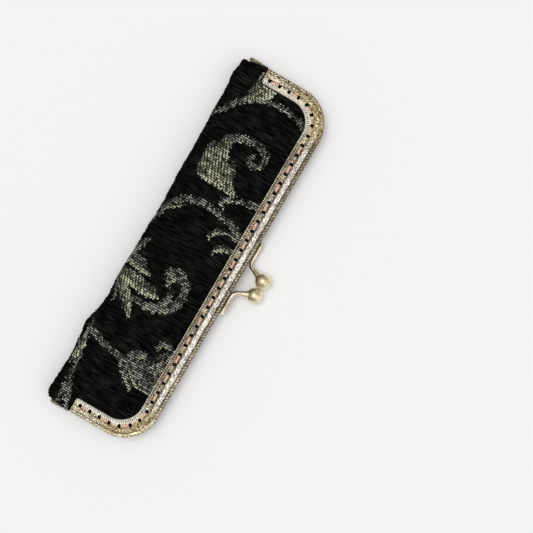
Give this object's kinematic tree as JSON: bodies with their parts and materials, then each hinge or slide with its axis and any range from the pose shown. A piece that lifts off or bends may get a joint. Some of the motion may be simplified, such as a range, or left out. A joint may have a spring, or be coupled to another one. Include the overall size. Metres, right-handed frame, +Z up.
{
  "type": "pen case",
  "caption": "Slim fabric pen case sewn into a hinged U-shaped brass purse frame with a ball clasp; lies flat and swings open along its fold.",
  "frame": {"origin": "middle of the closed case's footprint, on the plane that the rear half rests on", "axes": "+X along the case towards its right end with the clasp to the front, +Y from the clasp towards the fold, +Z up through the front half"},
  "size_m": [0.1874, 0.0638, 0.016],
  "materials": {
    "antique_brass": "embossed antique brass with dark patina in the recesses",
    "clasp_brass": "polished antique brass",
    "chenille_cloth": "black ribbed chenille with sage and gold scroll jacquard",
    "padding_fleece": "soft needle-punched fleece",
    "lining_cloth": "plain woven cotton",
    "sewing_thread": "twisted matt thread"
  },
  "bodies": {
    "rear_half": {"rear_frame": "antique_brass", "rear_clasp_stem": "clasp_brass", "rear_clasp_ball": "clasp_brass", "rear_stitches": "sewing_thread", "rear_cover": "chenille_cloth", "rear_padding": "padding_fleece", "rear_lining": "lining_cloth", "spine_cover": "chenille_cloth", "spine_padding": "padding_fleece", "spine_lining": "lining_cloth", "left_hinge_rivet": "clasp_brass", "right_hinge_rivet": "clasp_brass"},
    "front_half": {"front_frame": "antique_brass", "front_clasp_stem": "clasp_brass", "front_clasp_ball": "clasp_brass", "front_stitches": "sewing_thread", "front_cover": "chenille_cloth", "front_padding": "padding_fleece", "front_lining": "lining_cloth"}
  },
  "joints": [
    {"name": "frame_hinge", "type": "hinge", "parent": "rear_half", "child": "front_half", "pos_m": [0, 0.02703, 0.0062], "axis": [-1, 0, 0], "range_deg": [0, 110], "deforming": ["spine_cover", "spine_padding", "spine_lining"]}
  ]
}
